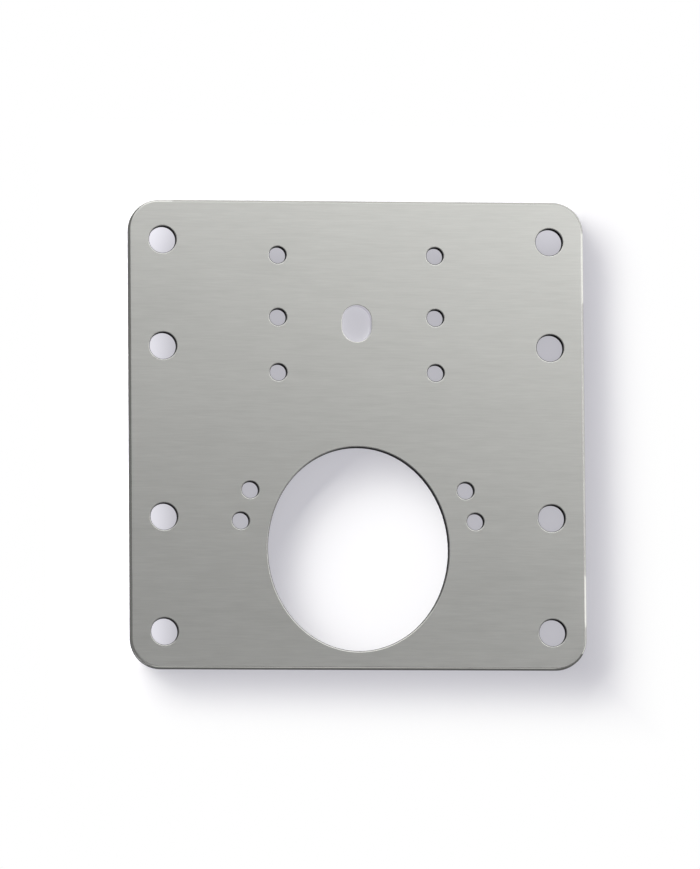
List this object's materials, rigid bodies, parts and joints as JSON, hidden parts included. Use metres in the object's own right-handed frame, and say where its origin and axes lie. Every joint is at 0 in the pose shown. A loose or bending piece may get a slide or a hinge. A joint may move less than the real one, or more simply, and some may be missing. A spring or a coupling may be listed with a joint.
{
  "type": "mending plate",
  "caption": "Flat brushed steel mending plate for a concealed cabinet hinge, with an oval opening for the hinge cup, a slot and rows of screw holes.",
  "frame": {"origin": "middle of the plate's back face, which is the face it lies on", "axes": "+X across the plate, +Y from the cup opening towards the rows of small holes, +Z out of the front face"},
  "size_m": [0.09, 0.0926, 0.002],
  "materials": {
    "steel": "brushed across the plate"
  },
  "bodies": {
    "root": {"plate": "steel"}
  },
  "joints": []
}
